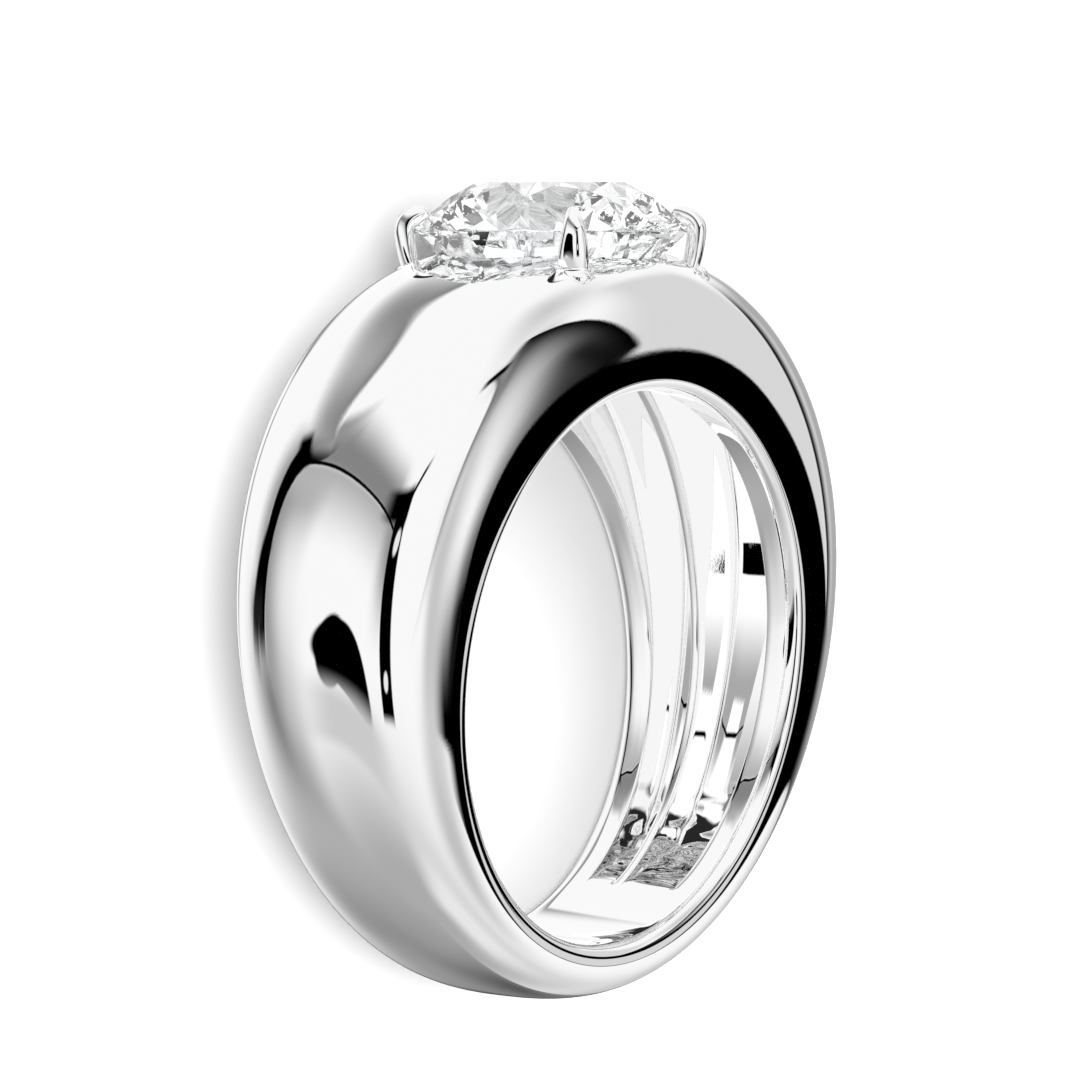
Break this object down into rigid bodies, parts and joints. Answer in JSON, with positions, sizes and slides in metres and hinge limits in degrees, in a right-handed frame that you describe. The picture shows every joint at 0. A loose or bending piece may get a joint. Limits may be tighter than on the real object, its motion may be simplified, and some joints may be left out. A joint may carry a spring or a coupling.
{
  "type": "dome ring",
  "caption": "Finger ring with a tapered, domed, mirror-polished band, hollowed from inside, and a round faceted stone held above the dome by claws.",
  "frame": {"origin": "middle of the finger hole, on its axis and half way through the band's width", "axes": "+Z up as the ring lies on its side, within 4.4 degrees of the finger hole's axis; +Y from the finger hole towards the stone; +X across the finger, to the right when +Y is up and +Z faces the viewer"},
  "size_m": [0.0246, 0.0242, 0.0084],
  "materials": {
    "polished_white_gold": "mirror polished, rhodium-plated white gold",
    "clear_stone": "polished colourless faceted stone"
  },
  "bodies": {
    "root": {"band": "polished_white_gold", "stone": "clear_stone"}
  },
  "joints": []
}
